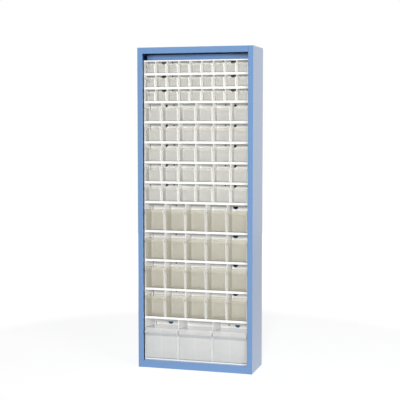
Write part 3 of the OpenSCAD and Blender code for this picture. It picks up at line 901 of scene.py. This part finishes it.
def screw_shape(s):
    """Points and groups of faces of one screw: a domed head with a cross recess and a threaded shank.

    Each ring has a radius and a Y. The recess sinks those points of the head whose distance from the
    nearer arm of the cross is under its half width, and the thread's groove follows the sawtooth of
    Y over the pitch less the turn.
    """
    segments = s.screw_sides
    turn = np.linspace(0, 2 * np.pi, segments, endpoint=False)
    dome = np.radians(np.linspace(0, 60, 6)[1:])
    inner = np.array([0.25, 0.45, 0.5, 0.8, 0.95, 1.05]) * s.recess
    face = 0 * inner - s.screw_head_height
    bulge, drop = np.sin(dome), 1 - np.cos(dome)
    rim_radius = inner[-1] + (s.screw_head - inner[-1]) * bulge / bulge[-1]
    rim_y = -s.screw_head_height + (s.screw_head_height - s.screw_rim) * drop / drop[-1]
    shank_y = np.arange(0, s.screw_length + s.pitch / 8, s.pitch / 4)
    shank_y = np.minimum(shank_y, s.screw_length)
    shank_radius = s.screw_radius + 0 * shank_y
    radius = np.concatenate([inner, rim_radius, [s.screw_head], shank_radius])
    y = np.concatenate([face, rim_y, [0], shank_y])
    x, z = radius[:, None] * np.cos(turn), radius[:, None] * np.sin(turn)
    y = y[:, None] + 0 * turn
    arm = np.minimum(np.abs(x), np.abs(z)) / s.recess_width
    reach = np.maximum(np.abs(x), np.abs(z)) / s.recess
    sunk = np.clip(1.5 - arm, 0, 1) * np.clip((1.0 - reach) * 6, 0, 1)
    y[: len(inner)] += s.recess_depth * sunk[: len(inner)]
    on_shank = (y > s.pitch / 2) & (np.arange(len(radius)) > len(inner) + len(rim_radius))[:, None]
    tooth = np.abs(2 * ((y / s.pitch - turn / (2 * np.pi)) % 1) - 1)
    shrink = np.where(on_shank, 1 - s.groove / s.screw_radius * tooth, 1)
    points = np.stack([x * shrink, y, z * shrink], -1).reshape(-1, 3)
    return points, [grid_quads(len(radius), segments, True), end_caps(segments, len(radius))]


def make_fasteners(node, points, groups, places, finish, slot):
    """All the fasteners of one node as one piece."""
    piece = new_piece(node + "_turned", *copies(points, groups, places), finish)
    stand_for(piece, node)
    return piece


class CABINET_OT_steel(bpy.types.Operator):
    """Coats the folded panels, the back panel and the mounting panels"""

    bl_idname = "cabinet.steel"
    bl_label = "Painted steel"

    def execute(self, context):
        settings = context.scene.steel_settings
        finish = powder_coat(settings)
        for node in FOLDED_PANELS + MOUNTING_PANELS:
            softened(node, finish, settings.edge)
        pierced("back_panel", finish)
        return {"FINISHED"}


class CABINET_OT_housings(bpy.types.Operator):
    """Gives the housings their moulded edges and plastic"""

    bl_idname = "cabinet.housings"
    bl_label = "White housings"

    def execute(self, context):
        settings = context.scene.housing_settings
        finish = moulded_plastic(settings)
        for node in HOUSINGS:
            softened(node, finish, settings.edge)
        return {"FINISHED"}


class CABINET_OT_bins(bpy.types.Operator):
    """Builds the clear bins round their pivots"""

    bl_idname = "cabinet.bins"
    bl_label = "Clear bins"

    def execute(self, context):
        settings = context.scene.bin_settings
        tints = (settings.warm, settings.warm, settings.amber, settings.neutral)
        finishes = [
            clear_plastic(name + "_bin_plastic", tint, kind, settings)
            for kind, (name, tint) in enumerate(zip(BIN_KINDS, tints))
        ]
        for node in BIN_NODES:
            kind = kind_of(node)
            make_bins(node, finishes[kind])
        return {"FINISHED"}


class CABINET_OT_fasteners(bpy.types.Operator):
    """Builds the rivets and the screws"""

    bl_idname = "cabinet.fasteners"
    bl_label = "Rivets and screws"

    def execute(self, context):
        settings = context.scene.fastener_settings
        bright = zinc_plate("zinc_plate", settings.zinc, settings)
        black = zinc_plate("black_zinc_plate", settings.black, settings)
        profile = rivet_profile(settings)
        points, quads = lathe(profile, settings.rivet_sides)
        rivet = points, [quads, end_caps(settings.rivet_sides, len(profile))]
        round_back, on_panels = back_rivet_places(settings), panel_rivet_places(settings)
        make_fasteners("back_rivets", *rivet, round_back, bright, "zinc_plated_steel")
        make_fasteners("panel_rivets", *rivet, on_panels, bright, "zinc_plated_steel")
        screw = screw_shape(settings)
        make_fasteners("housing_screws", *screw, screw_places(settings), black, "black_zinc_steel")
        return {"FINISHED"}


def studio_world(settings):
    """An even room: white to the camera and to reflections, and a softer sky as light."""
    world = bpy.data.worlds.new("studio")
    room = Nodes(world)
    seen, glossy, through = (
        room.node("ShaderNodeLightPath", output=ray)
        for ray in ("Is Camera Ray", "Is Glossy Ray", "Is Transmission Ray")
    )
    sky = room.node("ShaderNodeBackground", {}, {"Color": WHITE, "Strength": settings.sky})
    backdrop = room.node("ShaderNodeBackground", {}, {"Color": WHITE, "Strength": 1.0})
    sight = seen.larger(glossy).larger(through)
    mixed = room.node("ShaderNodeMixShader", {}, {0: sight, 1: sky, 2: backdrop})
    room.node("ShaderNodeOutputWorld", {}, {"Surface": mixed})
    bpy.context.scene.world = world


def lamp(name, power, size, place, aim):
    """A square soft lamp that looks from its place at its aim."""
    data = bpy.data.lights.new(name, "AREA")
    data.energy = power
    data.size = size
    item = placed(name, data)
    place, aim = np.array(place, float), np.array(aim, float)
    look = aim - place
    flat = math.hypot(look[0], look[1])
    item.location = place
    item.rotation_euler = math.atan2(flat, -look[2]), 0, -math.atan2(look[0], look[1])
    item.visible_glossy = False
    return item


def floor_finish(settings):
    """A white floor that keeps a soft shadow near the cabinet and fades into the room further out."""
    finish = Finish("floor")
    place = finish.place()
    distance = finish.node("ShaderNodeVectorMath", {"operation": "LENGTH"}, {0: place}, output="Value")
    far = ((distance - settings.fade_start) / settings.fade_reach).limited()
    grain = finish.noise(place, settings.grain)
    tone = finish.mix(grain, darker(settings.floor, settings.grain_tone), opaque(settings.floor))
    diffuse = finish.node("ShaderNodeBsdfDiffuse", {}, {"Color": tone})
    glow = finish.node("ShaderNodeEmission", {}, {"Color": WHITE, "Strength": settings.floor_glow})
    seen = finish.node("ShaderNodeLightPath", output="Is Camera Ray")
    mirrored = finish.node("ShaderNodeLightPath", output="Is Glossy Ray")
    near = settings.floor_near
    amount = seen * (near + far * (1 - near)) + mirrored * settings.floor_mirrored
    mixed = finish.node("ShaderNodeMixShader", {}, {0: amount.limited(), 1: diffuse, 2: glow})
    finish.node("ShaderNodeOutputMaterial", {}, {"Surface": mixed})
    return finish.material


def round_floor(radius):
    """Points and faces of a disc: rings whose radius grows with the square of their number."""
    rings = radius * np.linspace(0, 1, 9)[1:] ** 2
    turn = np.linspace(0, 2 * np.pi, 96, endpoint=False)
    x = rings[:, None] * np.cos(turn)
    y = rings[:, None] * np.sin(turn)
    points = np.stack([x, y, 0 * x], -1).reshape(-1, 3)
    quads = grid_quads(len(rings), len(turn), True)[:, ::-1]
    return points, quads.tolist() + [list(range(len(turn)))]


class CABINET_OT_stage(bpy.types.Operator):
    """Sets up the camera, the floor and the lamps"""

    bl_idname = "cabinet.stage"
    bl_label = "Stage"

    def execute(self, context):
        settings = context.scene.stage_settings
        data = bpy.data.cameras.new("camera")
        data.lens = settings.lens
        data.sensor_width = 36
        camera = placed("camera", data)
        camera.location = settings.camera_place
        camera.rotation_euler = math.pi / 2 - settings.camera_tilt, 0, settings.camera_turn
        context.scene.camera = camera
        studio_world(settings)
        lamp("key_lamp", settings.key, settings.key_size, settings.key_place, settings.aim)
        lamp("fill_lamp", settings.fill, settings.fill_size, settings.fill_place, settings.aim)
        points, faces = round_floor(settings.floor_radius)
        floor = new_piece("floor", points, faces, floor_finish(settings))
        context.scene.view_settings.view_transform = "Standard"
        return {"FINISHED"}


class CABINET_PT_sidebar(bpy.types.Panel):
    """Lists the steps that build the cabinet's looks"""

    bl_idname = "CABINET_PT_sidebar"
    bl_label = "Tilting bin cabinet"
    bl_space_type = "VIEW_3D"
    bl_region_type = "UI"
    bl_category = "Cabinet"

    def draw(self, context):
        for step in STEPS:
            self.layout.operator(step.bl_idname)
        for name in SETTINGS:
            group = getattr(context.scene, name)
            box = self.layout.box()
            for key in group.bl_rna.properties.keys():
                if key not in ("rna_type", "name"):
                    box.prop(group, key)


SETTINGS = {
    "steel_settings": SteelSettings,
    "housing_settings": HousingSettings,
    "bin_settings": BinSettings,
    "fastener_settings": FastenerSettings,
    "stage_settings": StageSettings,
}
STEPS = (
    CABINET_OT_steel,
    CABINET_OT_housings,
    CABINET_OT_bins,
    CABINET_OT_fasteners,
    CABINET_OT_stage,
)


def register():
    """Registers the settings, the steps and the sidebar."""
    for name, group in SETTINGS.items():
        bpy.utils.register_class(group)
        setattr(bpy.types.Scene, name, PointerProperty(type=group))
    for step in STEPS:
        bpy.utils.register_class(step)
    bpy.utils.register_class(CABINET_PT_sidebar)


def unregister():
    """Takes back what register added."""
    bpy.utils.unregister_class(CABINET_PT_sidebar)
    for step in reversed(STEPS):
        bpy.utils.unregister_class(step)
    for name, group in SETTINGS.items():
        delattr(bpy.types.Scene, name)
        bpy.utils.unregister_class(group)


def main():
    register()
    bpy.ops.cabinet.steel()
    bpy.ops.cabinet.housings()
    bpy.ops.cabinet.bins()
    bpy.ops.cabinet.fasteners()
    bpy.ops.cabinet.stage()


if __name__ == "__main__":
    main()
